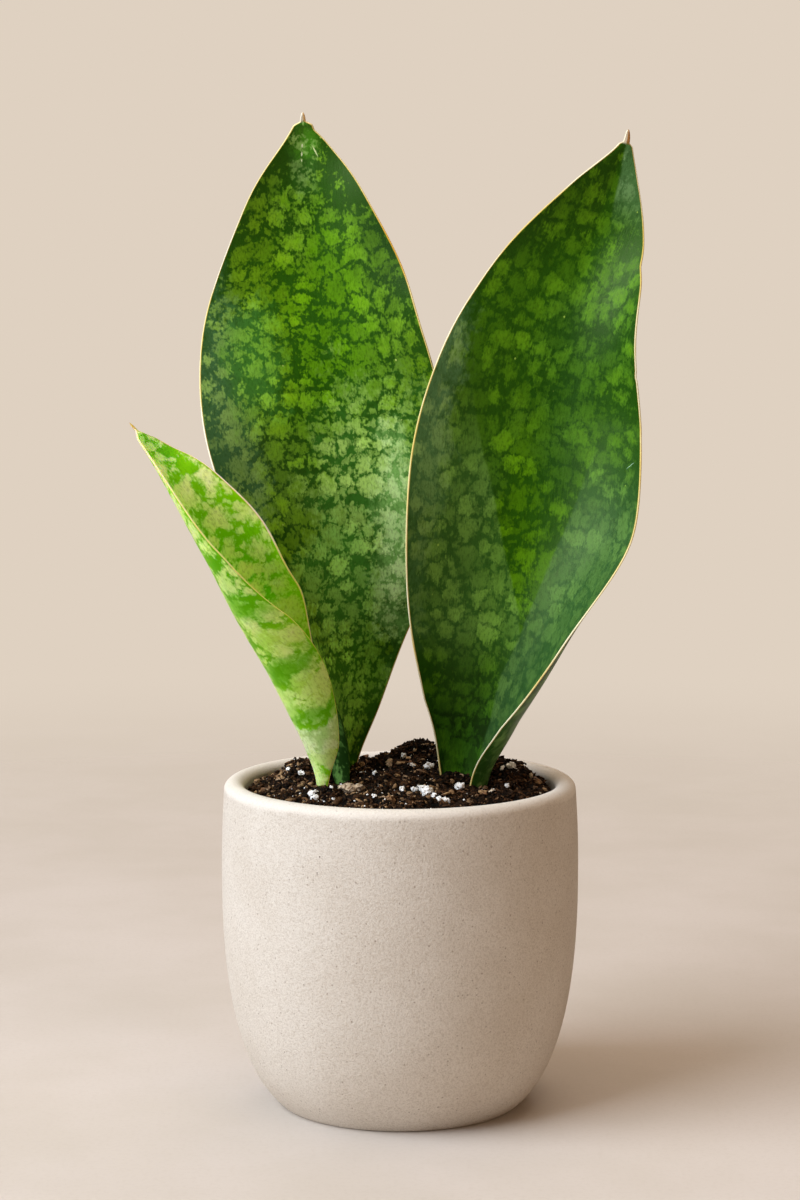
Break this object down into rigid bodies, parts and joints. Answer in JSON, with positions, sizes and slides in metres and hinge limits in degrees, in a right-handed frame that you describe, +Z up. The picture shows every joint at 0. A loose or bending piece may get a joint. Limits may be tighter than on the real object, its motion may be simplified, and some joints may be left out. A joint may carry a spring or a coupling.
{
  "type": "potted whale fin snake plant",
  "caption": "Young whale fin snake plant with broad, upright, mottled green leaves edged in cream, rooted in dark soil in a round-bellied matte stoneware pot.",
  "frame": {"origin": "centre of the pot's flat foot, on the surface that it stands on", "axes": "+Z up along the pot's axis, -Y towards the front of the plant, +X to the right seen from the front"},
  "size_m": [0.2096, 0.1494, 0.411],
  "materials": {
    "stoneware": "matte",
    "potting_soil": "matte",
    "mature_leaf": "satin",
    "fresh_leaf": "satin",
    "rootstock": "matte"
  },
  "bodies": {
    "root": {"pot": "stoneware", "soil": "potting_soil", "rhizome": "rootstock", "tall_left_leaf": "mature_leaf", "tall_right_leaf": "mature_leaf", "young_leaf": "fresh_leaf"}
  },
  "joints": []
}
